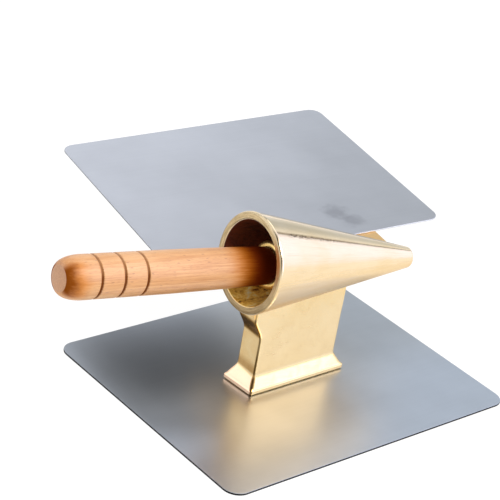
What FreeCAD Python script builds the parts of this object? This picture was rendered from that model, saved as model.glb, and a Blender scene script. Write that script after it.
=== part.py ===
import FreeCAD, Part
import os
import math
import Sketcher
from FreeCAD import Vector, Rotation, Placement

# Waffle cone maker: a hollow brass cone on a brass pedestal and a steel base
# plate, a steel feed plate carried by the cone's ledge, and a drawn-out roller
# with a beech handle.  Millimetres, +Z up.  Origin: middle of the underside of
# the base plate.  +X runs from the handle to the tip of the cone, +Y towards
# the feed plate.

doc = FreeCAD.newDocument("waffle_cone_maker")

# ---------------------------------------------------------------- dimensions
sheet = doc.addObject("Spreadsheet::Sheet", "dims")
sheet.Label = "dims"
TABLE = [
    # base plate
    ("base_len", "200"), ("base_wid", "157.5"), ("base_thk", "1.2"),
    ("base_corner", "9"), ("sheet_edge", "0.3"),
    ("csk_hole_r", "2.25"), ("csk_head_r", "3.8"),
    # pedestal
    ("ped_y", "1.4"), ("foot_x_left", "-33.4"), ("foot_x_right", "35.3"),
    ("foot_half_wid", "11.4"), ("foot_edge_h", "2.8"),
    ("neck_x_left", "-30.1"), ("neck_x_right", "29.4"),
    ("neck_half_wid", "7.85"), ("neck_z_foot", "10.5"),
    ("flare_z", "33.8"), ("flare_x_top", "-36.2"), ("flare_z_top", "47.5"),
    ("neck_x_top", "-35.2"), ("neck_z_top", "57"), ("flare_round", "14"),
    ("braze_gap", "0.05"),
    ("screw_x_left", "-19"), ("screw_x_right", "21"),
    ("tap_hole_r", "2.02"), ("tap_depth", "14"),
    # cone mould, measured along its own axis from the mouth
    ("mouth_x", "-38.43"), ("mouth_y", "4.4"), ("mouth_z", "78.05"),
    ("cone_yaw", "-4.863"), ("cone_fall", "7.916"),
    ("cone_r_mouth", "27.94"), ("cone_r_tip", "5.92"), ("cone_len", "114.35"),
    ("rim_round", "1.5"), ("tip_round", "1.8"),
    ("cav_r_mouth", "23.25"), ("cav_r_end", "4.6"), ("cav_len", "98"),
    ("cav_chamfer", "0.7"), ("bore_r", "2.55"), ("bore_len", "24"),
    # feed plate and the ledge under it, in the plate's own plane
    ("plate_len", "181.5"), ("plate_wid", "142.9"), ("plate_thk", "1.0"),
    ("plate_corner", "7.5"),
    ("plate_x", "45.45"), ("plate_y", "102.75"), ("plate_z", "64.65"),
    ("plate_yaw", "-8.921"), ("plate_rise_y", "2.753"), ("plate_rise_x", "-3.277"),
    ("ledge_u_left", "40"), ("ledge_u_right", "135.4"), ("ledge_v_back", "27"),
    ("ledge_v_mouth", "-37.1"), ("ledge_v_tip", "-30.9"), ("ledge_thk", "4.5"),
    ("ledge_corner", "5"), ("ledge_edge", "0.6"),
    ("slot_u_left", "43"), ("slot_u_right", "109"), ("slot_v_back", "-6"),
    ("slot_v_left", "-36.4"), ("slot_v_right", "-32.3"), ("slot_high", "7.5"),
    ("stud_u_left", "56"), ("stud_u_mid", "88"), ("stud_u_right", "120"),
    ("stud_v", "14"), ("stud_r", "1.97"), ("stud_len", "11.5"), ("stud_hole_r", "2.25"),
    ("washer_r", "4.5"), ("washer_thk", "0.8"), ("nut_flats", "7"), ("nut_thk", "3.2"),
    ("nut_hole_r", "2.0"),
    # base screws
    ("screw_r", "1.98"), ("screw_len", "13"), ("screw_head_r", "3.7"),
    ("screw_head_h", "1.72"), ("socket_r", "1.44"), ("socket_deep", "1.1"),
    # roller, measured along its own axis from the middle of the tip bore
    ("roller_at", "100"), ("roller_droop", "1.178"),
    ("pin_r", "2.5"), ("pin_start", "-13"), ("pin_end", "25"), ("pin_chamfer", "0.5"),
    ("pin_hole_r", "2.51"),
    ("nose_t", "11"), ("nose_r", "3.7"), ("nose_round", "0.8"),
    ("head_t", "83.4"), ("head_r", "12.2"), ("head_round", "1.2"),
    ("spigot_r", "6"), ("spigot_end", "88.3"),
    ("rod_r", "3.96"), ("rod_hole_r", "4"), ("rod_start", "63"), ("rod_stop", "62"),
    ("rod_end", "150"), ("rod_hole_end", "152"), ("rod_chamfer", "0.8"),
    ("ring_bore_r", "6.05"), ("ring_r", "12.5"), ("ring_t_low", "83.75"),
    ("ring_t_high", "87.95"), ("ring_round", "1.6"),
    ("grip_t_a", "92.5"), ("grip_r_root", "10.2"), ("grip_r_a", "10.4"),
    ("grip_t_b", "118"), ("grip_r_b", "10.95"), ("grip_t_c", "150"),
    ("grip_r_c", "11.3"), ("grip_t_dome", "203.5"), ("grip_r_dome", "11.25"),
    ("grip_t_end", "215.8"), ("grip_r_end", "6.9"), ("grip_crown", "0.5"),
    ("groove_a", "170.1"), ("groove_b", "183.8"), ("groove_c", "197.5"),
    ("groove_half", "0.8"), ("groove_deep", "0.9"),
]
for row, (alias, number) in enumerate(TABLE, 1):
    sheet.set("A%d" % row, alias)
    sheet.set("B%d" % row, number)
    sheet.setAlias("B%d" % row, alias)
doc.recompute()


def num(alias):
    return float(sheet.get(alias))


# ------------------------------------------------------------------- helpers
def plane(body, role):
    for f in body.Origin.OriginFeatures:
        if f.Role == role:
            return f
    raise RuntimeError(role)


def new_body(label, placement=None):
    body = doc.addObject("PartDesign::Body", label)
    body.Label = label
    if placement is not None:
        body.Placement = placement
    return body


def value(text):
    """Number behind an expression of sheet cells, for the first drawing."""
    words = text.replace("dims.", "")
    for alias, _ in sorted(TABLE, key=lambda x: -len(x[0])):
        words = words.replace(alias, repr(num(alias)))
    return FreeCAD.Units.Quantity(words).Value


def new_sketch(body, name, role, lift=None):
    sk = body.newObject("Sketcher::SketchObject", name)
    sk.AttachmentSupport = [(plane(body, role), "")]
    sk.MapMode = "FlatFace"
    if lift is not None:
        sk.setExpression("AttachmentOffset.Base.z", lift)
    return sk


def polygon(sk, points):
    """Closed outline; each point is a pair of sheet expressions."""
    xy = [(value(a), value(b)) for a, b in points]
    n = len(xy)
    first = sk.GeometryCount
    for i in range(n):
        p, q = xy[i], xy[(i + 1) % n]
        sk.addGeometry(Part.LineSegment(Vector(p[0], p[1], 0), Vector(q[0], q[1], 0)), False)
    for i in range(n):
        sk.addConstraint(Sketcher.Constraint("Coincident", first + i, 2, first + (i + 1) % n, 1))
    for i, (a, b) in enumerate(points):
        for kind, text, here in (("DistanceX", a, xy[i][0]), ("DistanceY", b, xy[i][1])):
            if abs(here) < 1e-9 and text in ("0", "0.0"):
                c = sk.addConstraint(Sketcher.Constraint(
                    "PointOnObject", first + i, 1, -2 if kind == "DistanceX" else -1))
                continue
            c = sk.addConstraint(Sketcher.Constraint(kind, -1, 1, first + i, 1, here))
            label = "%s_%d" % ("x" if kind == "DistanceX" else "y", first + i)
            sk.renameConstraint(c, label)
            sk.setExpression("Constraints." + label, text)
    return sk


def circle(sk, x, y, r):
    g = sk.addGeometry(Part.Circle(Vector(value(x), value(y), 0), Vector(0, 0, 1), value(r)), False)
    for kind, text in (("DistanceX", x), ("DistanceY", y)):
        c = sk.addConstraint(Sketcher.Constraint(kind, -1, 1, g, 3, value(text)))
        label = "%s_%d" % (kind, g)
        sk.renameConstraint(c, label)
        sk.setExpression("Constraints." + label, text)
    c = sk.addConstraint(Sketcher.Constraint("Radius", g, value(r)))
    sk.renameConstraint(c, "r_%d" % g)
    sk.setExpression("Constraints.r_%d" % g, r)
    return sk


def pad(body, sk, name, length, midplane=False, reverse=False):
    f = body.newObject("PartDesign::Pad", name)
    f.Profile = sk
    f.setExpression("Length", length)
    f.Midplane = midplane
    f.Reversed = reverse
    body.Tip = f
    doc.recompute()
    return f


def revolve(body, sk, name):
    f = body.newObject("PartDesign::Revolution", name)
    f.Profile = sk
    f.ReferenceAxis = (sk, ["V_Axis"])
    f.Angle = 360
    body.Tip = f
    doc.recompute()
    return f


def edges_of(feature, test):
    doc.recompute()
    return ["Edge%d" % i for i, e in enumerate(feature.Shape.Edges, 1) if test(e)]


def dress(body, base, kind, name, names, size):
    f = body.newObject("PartDesign::" + kind, name)
    f.Base = (base, names)
    f.setExpression("Radius" if kind == "Fillet" else "Size", size)
    body.Tip = f
    doc.recompute()
    return f


def ring_edge(r, z, tol=0.02):
    def test(e):
        c = e.Curve
        return (c.TypeId == "Part::GeomCircle" and abs(c.Radius - r) < tol
                and abs(c.Center.z - z) < tol)
    return test


def primitive(kind, name, placement, **sizes):
    o = doc.addObject(kind, name)
    o.Label = name
    for prop, text in sizes.items():
        o.setExpression(prop, text)
    o.Placement = placement
    return o


def cut(name, base, tool):
    o = doc.addObject("Part::Cut", name)
    o.Label = name
    o.Base, o.Tool = base, tool
    doc.recompute()
    if not o.Shape.Volume < base.Shape.Volume - 0.01:
        raise RuntimeError("%s: the cut took nothing away" % name)
    return o


def group(name, members):
    o = doc.addObject("Part::Compound", name)
    o.Label = name
    o.Links = members
    doc.recompute()
    return o


# -------------------------------------------------------------------- frames
UP = Vector(0, 0, 1)


def axis_frame(origin, direction):
    """Local Z along direction, local X as near to upwards as it can be."""
    z = Vector(direction).normalize()
    x = UP - z * UP.dot(z)
    x.normalize()
    y = z.cross(x)
    return Placement(origin, Rotation(x, y, z, "ZXY"))


def heading(yaw, fall):
    a, b = math.radians(yaw), math.radians(fall)
    return Vector(math.cos(b) * math.cos(a), math.cos(b) * math.sin(a), -math.sin(b))


mouth = Vector(num("mouth_x"), num("mouth_y"), num("mouth_z"))
cone_dir = heading(num("cone_yaw"), num("cone_fall"))
CONE = axis_frame(mouth, cone_dir)

roller_origin = mouth + cone_dir * num("roller_at")
roller_out = heading(num("cone_yaw"), num("cone_fall") - num("roller_droop")) * -1.0
ROLLER = axis_frame(roller_origin, roller_out)

plate_turn = (Rotation(Vector(0, 0, 1), num("plate_yaw"))
              * Rotation(Vector(1, 0, 0), num("plate_rise_y"))
              * Rotation(Vector(0, 1, 0), num("plate_rise_x")))
plate_up = plate_turn.multVec(UP)
plate_mid = Vector(num("plate_x"), num("plate_y"), num("plate_z")) - plate_up * num("plate_thk")
# local origin of the ledge frame: front left corner of the plate's underside
plate_corner_at = plate_mid + plate_turn.multVec(
    Vector(-num("plate_len") / 2, -num("plate_wid") / 2, 0))
LEDGE = Placement(plate_corner_at, plate_turn)


def on_ledge(u, v, w=0.0, turn=None):
    p = LEDGE.multVec(Vector(u, v, w))
    return Placement(p, plate_turn if turn is None else plate_turn * turn)


def rounded_sheet(body, length, width, corner, thick, edge):
    sk = new_sketch(body, body.Label + "_outline", "XY_Plane")
    polygon(sk, [("-%s / 2" % length, "-%s / 2" % width), ("%s / 2" % length, "-%s / 2" % width),
                 ("%s / 2" % length, "%s / 2" % width), ("-%s / 2" % length, "%s / 2" % width)])
    p = pad(body, sk, body.Label + "_sheet", thick)
    up = edges_of(p, lambda e: e.Curve.TypeId == "Part::GeomLine"
                  and abs(abs(e.Curve.Direction.z) - 1) < 1e-6)
    f = dress(body, p, "Fillet", body.Label + "_corners", up, corner)
    flat = [n for n, e in (("Edge%d" % i, e) for i, e in enumerate(f.Shape.Edges, 1))
            if abs(e.BoundBox.ZLength) < 1e-6]
    return dress(body, f, "Fillet", body.Label + "_edges", flat, edge)


# ---------------------------------------------------------------- base plate
base_plate = new_body("base_plate")
rounded_sheet(base_plate, "dims.base_len", "dims.base_wid", "dims.base_corner",
              "dims.base_thk", "dims.sheet_edge")
before = base_plate.Shape.Volume
sk = new_sketch(base_plate, "base_holes", "XY_Plane")
circle(sk, "dims.screw_x_left", "dims.ped_y", "dims.csk_hole_r")
circle(sk, "dims.screw_x_right", "dims.ped_y", "dims.csk_hole_r")
hole = base_plate.newObject("PartDesign::Pocket", "base_hole_cut")
hole.Profile = sk
hole.Type = "ThroughAll"
hole.Midplane = True
base_plate.Tip = hole
doc.recompute()
for tag in ("left", "right"):
    c = base_plate.newObject("PartDesign::SubtractiveCone", "countersink_" + tag)
    c.setExpression("Radius1", "dims.csk_head_r")
    c.setExpression("Radius2", "dims.csk_head_r - dims.base_thk - 0.3")
    c.setExpression("Height", "dims.base_thk + 0.3")
    c.Placement = Placement(Vector(num("screw_x_" + tag), num("ped_y"), 0), Rotation())
    base_plate.Tip = c
    doc.recompute()
if not base_plate.Shape.Volume < before - 2 * math.pi * 2.2 ** 2:
    raise RuntimeError("base plate holes")

# ------------------------------------------------------- cone blank and ledge
cone_blank = new_body("cone_blank", CONE)
sk = new_sketch(cone_blank, "cone_outline", "XZ_Plane")
polygon(sk, [("0", "0"), ("dims.cone_r_mouth", "0"), ("dims.cone_r_tip", "dims.cone_len"),
             ("0", "dims.cone_len")])
rev = revolve(cone_blank, sk, "cone_turned")
fil = dress(cone_blank, rev, "Fillet", "cone_rim",
            edges_of(rev, lambda e: e.Curve.TypeId == "Part::GeomCircle"
                     and abs(e.Curve.Radius - num("cone_r_mouth")) < 0.02), "dims.rim_round")
dress(cone_blank, fil, "Fillet", "cone_nose",
      edges_of(fil, lambda e: e.Curve.TypeId == "Part::GeomCircle"
               and abs(e.Curve.Radius - num("cone_r_tip")) < 0.02), "dims.tip_round")

ledge_blank = new_body("ledge_blank", LEDGE)
sk = new_sketch(ledge_blank, "ledge_outline", "XY_Plane")
polygon(sk, [("dims.ledge_u_left", "dims.ledge_v_mouth"),
             ("dims.ledge_u_right", "dims.ledge_v_tip"),
             ("dims.ledge_u_right", "dims.ledge_v_back"),
             ("dims.ledge_u_left", "dims.ledge_v_back")])
p = pad(ledge_blank, sk, "ledge_slab", "dims.ledge_thk", reverse=True)
back = edges_of(p, lambda e: e.Curve.TypeId == "Part::GeomLine"
                and abs(e.BoundBox.ZLength - num("ledge_thk")) < 1e-3
                and e.BoundBox.YMin > num("ledge_v_back") - 0.1)
f = dress(ledge_blank, p, "Fillet", "ledge_corners", back, "dims.ledge_corner")
rim = edges_of(f, lambda e: e.BoundBox.ZLength < 1e-4 and e.BoundBox.YMax > num("ledge_v_tip") + 1.0)
dress(ledge_blank, f, "Fillet", "ledge_edges", rim, "dims.ledge_edge")

mould_blank = doc.addObject("Part::Fuse", "mould_blank")
mould_blank.Label = "mould_blank"
mould_blank.Base, mould_blank.Tool = cone_blank, ledge_blank
doc.recompute()

# the hollow: chamfered mouth, taper, flat end
cavity = new_body("cavity", CONE)
sk = new_sketch(cavity, "cavity_outline", "XZ_Plane")
polygon(sk, [("0", "-1"), ("dims.cav_r_mouth + dims.cav_chamfer + 1", "-1"),
             ("dims.cav_r_mouth", "dims.cav_chamfer"),
             ("dims.cav_r_end", "dims.cav_len"), ("0", "dims.cav_len")])
revolve(cavity, sk, "cavity_turned")

# the feed slot: a band on the ledge's top that opens into the hollow
slot = new_body("feed_slot", LEDGE)
sk = new_sketch(slot, "slot_outline", "XY_Plane")
polygon(sk, [("dims.slot_u_left", "dims.slot_v_left"), ("dims.slot_u_right", "dims.slot_v_right"),
             ("dims.slot_u_right", "dims.slot_v_back"), ("dims.slot_u_left", "dims.slot_v_back")])
p = pad(slot, sk, "slot_band", "dims.slot_high")
ends = edges_of(p, lambda e: e.Curve.TypeId == "Part::GeomLine"
                and e.BoundBox.ZMin > num("slot_high") - 1e-3
                and e.BoundBox.XLength < 1e-3)
dress(slot, p, "Fillet", "slot_ends", ends, "dims.slot_high * 0.4")

# the tip bore lies on the roller's axis
bore = primitive("Part::Cylinder", "tip_bore",
                 Placement(ROLLER.multVec(Vector(0, 0, 6)), ROLLER.Rotation * Rotation(Vector(1, 0, 0), 180)),
                 Radius="dims.bore_r", Height="dims.bore_len")
stud_holes = []
for tag in ("left", "mid", "right"):
    stud_holes.append(primitive(
        "Part::Cylinder", "stud_hole_" + tag,
        on_ledge(num("stud_u_" + tag), num("stud_v"), -num("ledge_thk") - 2),
        Radius="dims.stud_hole_r", Height="dims.ledge_thk + 4"))
hollow = doc.addObject("Part::MultiFuse", "mould_hollows")
hollow.Label = "mould_hollows"
hollow.Shapes = [cavity, slot, bore] + stud_holes
doc.recompute()
cone_mould = cut("cone_mould", mould_blank, hollow)

# ------------------------------------------------------------------ pedestal
pedestal_blank = new_body("pedestal_blank", Placement(Vector(0, num("ped_y"), num("base_thk")), Rotation()))
sk = new_sketch(pedestal_blank, "foot_outline", "XY_Plane")
polygon(sk, [("dims.foot_x_left", "-dims.foot_half_wid"), ("dims.foot_x_right", "-dims.foot_half_wid"),
             ("dims.foot_x_right", "dims.foot_half_wid"), ("dims.foot_x_left", "dims.foot_half_wid")])
pad(pedestal_blank, sk, "foot", "dims.foot_edge_h")
low = new_sketch(pedestal_blank, "bevel_low", "XY_Plane", "dims.foot_edge_h")
polygon(low, [("dims.foot_x_left", "-dims.foot_half_wid"), ("dims.foot_x_right", "-dims.foot_half_wid"),
              ("dims.foot_x_right", "dims.foot_half_wid"), ("dims.foot_x_left", "dims.foot_half_wid")])
high = new_sketch(pedestal_blank, "bevel_high", "XY_Plane", "dims.neck_z_foot")
polygon(high, [("dims.neck_x_left", "-dims.neck_half_wid"), ("dims.neck_x_right", "-dims.neck_half_wid"),
               ("dims.neck_x_right", "dims.neck_half_wid"), ("dims.neck_x_left", "dims.neck_half_wid")])
loft = pedestal_blank.newObject("PartDesign::AdditiveLoft", "foot_bevel")
loft.Profile = low
loft.Sections = [high]
loft.Ruled = True
pedestal_blank.Tip = loft
doc.recompute()
side = new_sketch(pedestal_blank, "neck_side", "XZ_Plane")
polygon(side, [("dims.neck_x_left", "dims.neck_z_foot - 4"), ("dims.neck_x_right", "dims.neck_z_foot - 4"),
               ("dims.neck_x_right", "dims.neck_z_top"), ("dims.neck_x_top", "dims.neck_z_top"),
               ("dims.flare_x_top", "dims.flare_z_top"), ("dims.neck_x_left", "dims.flare_z")])
neck = pad(pedestal_blank, side, "neck", "dims.neck_half_wid * 2", midplane=True)
corner = edges_of(neck, lambda e: e.Curve.TypeId == "Part::GeomLine"
                  and abs(abs(e.Curve.Direction.y) - 1) < 1e-6
                  and abs(e.BoundBox.Center.x - num("neck_x_left")) < 0.01
                  and abs(e.BoundBox.Center.z - num("flare_z")) < 0.01)
flared = dress(pedestal_blank, neck, "Fillet", "neck_flare", corner, "dims.flare_round")
# the saddle on top follows the cone and its ledge with a brazing gap
saddle = doc.addObject("Part::Feature", "saddle_form")
saddle.Label = "saddle_form"
saddle.Shape = mould_blank.Shape.copy()
saddle.Placement = Placement(Vector(0, 0, -num("braze_gap")), Rotation())
tap = []
for tag in ("left", "right"):
    tap.append(primitive("Part::Cylinder", "tapped_hole_" + tag,
                         Placement(Vector(num("screw_x_" + tag), num("ped_y"), num("base_thk") - 1), Rotation()),
                         Radius="dims.tap_hole_r", Height="dims.tap_depth + 1"))
    tap.append(primitive("Part::Cone", "tapped_mouth_" + tag,
                         Placement(Vector(num("screw_x_" + tag), num("ped_y"), num("base_thk") - 0.2), Rotation()),
                         Radius1="dims.screw_head_r - dims.base_thk + 0.3", Radius2="dims.tap_hole_r",
                         Height="0.9"))
saddle_tools = doc.addObject("Part::MultiFuse", "saddle_tools")
saddle_tools.Label = "saddle_tools"
saddle_tools.Shapes = [saddle] + tap
doc.recompute()
pedestal = cut("pedestal", pedestal_blank, saddle_tools)

# --------------------------------------------------------------- base screws
screws = []
for tag in ("left", "right"):
    at = Vector(num("screw_x_" + tag), num("ped_y"), 0)
    head = primitive("Part::Cone", "screw_head_" + tag, Placement(at + Vector(0, 0, 0.1), Rotation()),
                     Radius1="dims.screw_head_r", Radius2="dims.screw_r", Height="dims.screw_head_h")
    shank = primitive("Part::Cylinder", "screw_shank_" + tag, Placement(at + Vector(0, 0, 0.1), Rotation()),
                      Radius="dims.screw_r", Height="dims.screw_len")
    socket = primitive("Part::Prism", "screw_socket_" + tag, Placement(at + Vector(0, 0, -0.4), Rotation()),
                       Circumradius="dims.socket_r", Height="dims.socket_deep + 0.5")
    socket.Polygon = 6
    whole = doc.addObject("Part::Fuse", "screw_whole_" + tag)
    whole.Label = "screw_whole_" + tag
    whole.Base, whole.Tool = head, shank
    doc.recompute()
    screws.append(cut("screw_" + tag, whole, socket))
base_screws = group("base_screws", screws)

# ---------------------------------------------------------------- feed plate
feed_plate = new_body("feed_plate", Placement(plate_mid, plate_turn))
rounded_sheet(feed_plate, "dims.plate_len", "dims.plate_wid", "dims.plate_corner",
              "dims.plate_thk", "dims.sheet_edge")

# weld studs under the plate, each with a washer and a nut below the ledge
studs, washers, nuts = [], [], []
for tag in ("left", "mid", "right"):
    u, v = num("stud_u_" + tag), num("stud_v")
    studs.append(primitive("Part::Cylinder", "stud_" + tag, on_ledge(u, v, -num("stud_len")),
                           Radius="dims.stud_r", Height="dims.stud_len"))
    low_w = -num("ledge_thk") - num("washer_thk")
    disc = primitive("Part::Cylinder", "washer_disc_" + tag, on_ledge(u, v, low_w),
                     Radius="dims.washer_r", Height="dims.washer_thk")
    eye = primitive("Part::Cylinder", "washer_eye_" + tag, on_ledge(u, v, low_w - 1),
                    Radius="dims.stud_hole_r", Height="dims.washer_thk + 2")
    washers.append(cut("washer_" + tag, disc, eye))
    low_n = low_w - num("nut_thk")
    hexa = primitive("Part::Prism", "nut_hex_" + tag, on_ledge(u, v, low_n),
                     Circumradius="dims.nut_flats / sqrt(3)", Height="dims.nut_thk")
    hexa.Polygon = 6
    ball = primitive("Part::Sphere", "nut_ball_" + tag, on_ledge(u, v, low_n + num("nut_thk") / 2),
                     Radius="sqrt((dims.nut_flats * 0.51) ^ 2 + (dims.nut_thk / 2) ^ 2)")
    worn = doc.addObject("Part::Common", "nut_form_" + tag)
    worn.Label = "nut_form_" + tag
    worn.Base, worn.Tool = hexa, ball
    thread = primitive("Part::Cylinder", "nut_thread_" + tag, on_ledge(u, v, low_n - 1),
                       Radius="dims.nut_hole_r", Height="dims.nut_thk + 2")
    doc.recompute()
    nuts.append(cut("nut_" + tag, worn, thread))
plate_studs = group("plate_studs", studs)
plate_washers = group("plate_washers", washers)
plate_nuts = group("plate_nuts", nuts)

# -------------------------------------------------------------------- roller
roller_cone = new_body("roller_cone", ROLLER)
sk = new_sketch(roller_cone, "roller_outline", "XZ_Plane")
polygon(sk, [("dims.pin_hole_r", "dims.nose_t"), ("dims.nose_r", "dims.nose_t"),
             ("dims.head_r", "dims.head_t"), ("dims.spigot_r", "dims.head_t"),
             ("dims.spigot_r", "dims.spigot_end"), ("dims.rod_hole_r", "dims.spigot_end"),
             ("dims.rod_hole_r", "dims.rod_stop"), ("0", "dims.rod_stop - 2.3"),
             ("0", "dims.pin_end + 0.2"), ("dims.pin_hole_r", "dims.pin_end + 0.2")])
rev = revolve(roller_cone, sk, "roller_turned")
fil = dress(roller_cone, rev, "Fillet", "roller_nose",
            edges_of(rev, lambda e: e.Curve.TypeId == "Part::GeomCircle"
                     and abs(e.Curve.Radius - num("nose_r")) < 0.01), "dims.nose_round")
dress(roller_cone, fil, "Fillet", "roller_shoulder",
      edges_of(fil, lambda e: e.Curve.TypeId == "Part::GeomCircle"
               and abs(e.Curve.Radius - num("head_r")) < 0.01), "dims.head_round")

pivot_pin = new_body("pivot_pin", ROLLER)
sk = new_sketch(pivot_pin, "pin_outline", "XZ_Plane")
polygon(sk, [("0", "dims.pin_start"), ("dims.pin_r - dims.pin_chamfer", "dims.pin_start"),
             ("dims.pin_r", "dims.pin_start + dims.pin_chamfer"),
             ("dims.pin_r", "dims.pin_end - dims.pin_chamfer"),
             ("dims.pin_r - dims.pin_chamfer", "dims.pin_end"), ("0", "dims.pin_end")])
revolve(pivot_pin, sk, "pin_turned")

shoulder_ring = new_body("shoulder_ring", ROLLER)
sk = new_sketch(shoulder_ring, "ring_outline", "XZ_Plane")
polygon(sk, [("dims.ring_bore_r", "dims.ring_t_low"), ("dims.ring_r", "dims.ring_t_low"),
             ("dims.ring_r", "dims.ring_t_high"), ("dims.ring_bore_r", "dims.ring_t_high")])
rev = revolve(shoulder_ring, sk, "ring_turned")
dress(shoulder_ring, rev, "Fillet", "ring_edges",
      edges_of(rev, lambda e: e.Curve.TypeId == "Part::GeomCircle"
               and abs(e.Curve.Radius - num("ring_r")) < 0.01), "dims.ring_round")

handle_rod = new_body("handle_rod", ROLLER)
sk = new_sketch(handle_rod, "rod_outline", "XZ_Plane")
polygon(sk, [("0", "dims.rod_start"), ("dims.rod_r - dims.rod_chamfer", "dims.rod_start"),
             ("dims.rod_r", "dims.rod_start + dims.rod_chamfer"),
             ("dims.rod_r", "dims.rod_end - dims.rod_chamfer"),
             ("dims.rod_r - dims.rod_chamfer", "dims.rod_end"), ("0", "dims.rod_end")])
revolve(handle_rod, sk, "rod_turned")

# turned beech grip: swelling taper, three scored grooves, rounded end with a
# crowned disc; the outline is a spline-free chain so that it stays exact
handle = new_body("handle", ROLLER)
sk = new_sketch(handle, "grip_outline", "XZ_Plane")
outline = [("dims.rod_hole_r", "dims.spigot_end"), ("dims.grip_r_root", "dims.spigot_end"),
           ("dims.grip_r_a", "dims.grip_t_a"), ("dims.grip_r_b", "dims.grip_t_b"),
           ("dims.grip_r_c", "dims.grip_t_c"), ("dims.grip_r_dome", "dims.grip_t_dome")]
STEPS = 12
for i in range(1, STEPS):
    a = math.pi / 2 * i / STEPS
    outline.append((
        "dims.grip_r_end + (dims.grip_r_dome - dims.grip_r_end) * %.6f" % math.cos(a),
        "dims.grip_t_dome + (dims.grip_t_end - dims.grip_t_dome) * %.6f" % math.sin(a)))
outline += [("dims.grip_r_end", "dims.grip_t_end"), ("0", "dims.grip_t_end + dims.grip_crown"),
            ("0", "dims.rod_hole_end + 2.3"), ("dims.rod_hole_r", "dims.rod_hole_end")]
polygon(sk, outline)
revolve(handle, sk, "grip_turned")
for tag in ("a", "b", "c"):
    before = handle.Shape.Volume
    sk = new_sketch(handle, "groove_outline_" + tag, "XZ_Plane")
    polygon(sk, [("dims.grip_r_dome - dims.groove_deep", "dims.groove_%s" % tag),
                 ("dims.grip_r_dome + 0.6", "dims.groove_%s - dims.groove_half * 1.6" % tag),
                 ("dims.grip_r_dome + 0.6", "dims.groove_%s + dims.groove_half * 1.6" % tag)])
    g = handle.newObject("PartDesign::Groove", "groove_" + tag)
    g.Profile = sk
    g.ReferenceAxis = (sk, ["V_Axis"])
    g.Angle = 360
    handle.Tip = g
    doc.recompute()
    if not handle.Shape.Volume < before - 10:
        raise RuntimeError("groove %s cut nothing" % tag)

# ------------------------------------------------------------ check and write
NODES = [(base_plate, 1), (pedestal, 1), (base_screws, 2), (cone_mould, 1), (feed_plate, 1),
         (plate_studs, 3), (plate_washers, 3), (plate_nuts, 3), (roller_cone, 1), (pivot_pin, 1),
         (shoulder_ring, 1), (handle_rod, 1), (handle, 1)]
doc.recompute()
failed = [o.Label for o in doc.Objects if "Invalid" in o.State or "Error" in o.State]
if failed:
    raise RuntimeError("failed objects: " + ", ".join(failed))
for node, count in NODES:
    shape = node.Shape
    if shape.isNull() or not shape.isValid():
        raise RuntimeError(node.Label + ": shape is not valid")
    if len(shape.Solids) != count:
        raise RuntimeError("%s: %d solids, not %d" % (node.Label, len(shape.Solids), count))
os.makedirs("parts", exist_ok=True)
for node, count in NODES:
    node.Shape.exportStep("parts/%s.step" % node.Label)
    b = node.Shape.BoundBox
    print("%-14s solids %d  volume %9.1f mm3  x %.1f..%.1f  y %.1f..%.1f  z %.1f..%.1f" % (
        node.Label, count, node.Shape.Volume, b.XMin, b.XMax, b.YMin, b.YMax, b.ZMin, b.ZMax))
print("roller origin %s  outward %s" % (tuple(round(c, 4) for c in ROLLER.Base),
                                        tuple(round(c, 6) for c in roller_out)))
print("ledge frame %s  u %s  v %s  w %s" % (
    tuple(round(c, 3) for c in LEDGE.Base),
    tuple(round(c, 5) for c in plate_turn.multVec(Vector(1, 0, 0))),
    tuple(round(c, 5) for c in plate_turn.multVec(Vector(0, 1, 0))),
    tuple(round(c, 5) for c in plate_up)))
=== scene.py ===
import bpy
import bmesh
import math
from mathutils import Matrix, Vector


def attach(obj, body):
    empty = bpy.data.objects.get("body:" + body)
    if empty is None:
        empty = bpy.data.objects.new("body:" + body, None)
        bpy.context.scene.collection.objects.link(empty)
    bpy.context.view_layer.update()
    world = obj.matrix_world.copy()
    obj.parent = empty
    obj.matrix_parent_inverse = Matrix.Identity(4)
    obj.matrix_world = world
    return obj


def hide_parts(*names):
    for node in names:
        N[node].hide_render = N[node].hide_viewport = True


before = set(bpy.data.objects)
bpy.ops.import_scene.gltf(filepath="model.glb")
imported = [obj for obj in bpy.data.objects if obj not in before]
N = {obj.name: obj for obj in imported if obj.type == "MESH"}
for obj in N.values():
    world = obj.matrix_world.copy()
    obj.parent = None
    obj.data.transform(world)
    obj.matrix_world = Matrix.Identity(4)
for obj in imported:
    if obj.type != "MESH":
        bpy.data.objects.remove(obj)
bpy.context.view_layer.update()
scene = bpy.context.scene
MM = 0.001

# ------------------------------------------------------------------ geometry facts, as in the CAD
MOUTH = Vector((-0.03843, 0.0044, 0.07805))


def heading(yaw, fall):
    a, b = math.radians(yaw), math.radians(fall)
    return Vector((math.cos(b) * math.cos(a), math.cos(b) * math.sin(a), -math.sin(b)))


CONE_DIR = heading(-4.863, 7.916)
CONE_R0, CONE_R1, CONE_L = 0.02794, 0.00592, 0.11435
ROLL_AT = MOUTH + CONE_DIR * 0.100
ROLL_OUT = -heading(-4.863, 7.916 - 1.178)
UP = Vector((0, 0, 1))
ROLL_X = (UP - ROLL_OUT * UP.dot(ROLL_OUT)).normalized()
ROLL_Y = ROLL_OUT.cross(ROLL_X)
SEAM_SIDE = 0.485
LEDGE_AT = Vector((-0.05502, 0.04658, 0.055039))
LEDGE_U = Vector((0.98586, -0.15753, 0.0571))
LEDGE_V = Vector((0.15489, 0.98676, 0.04803))
LEDGE_W = Vector((-0.06391, -0.03851, 0.99721))

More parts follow.
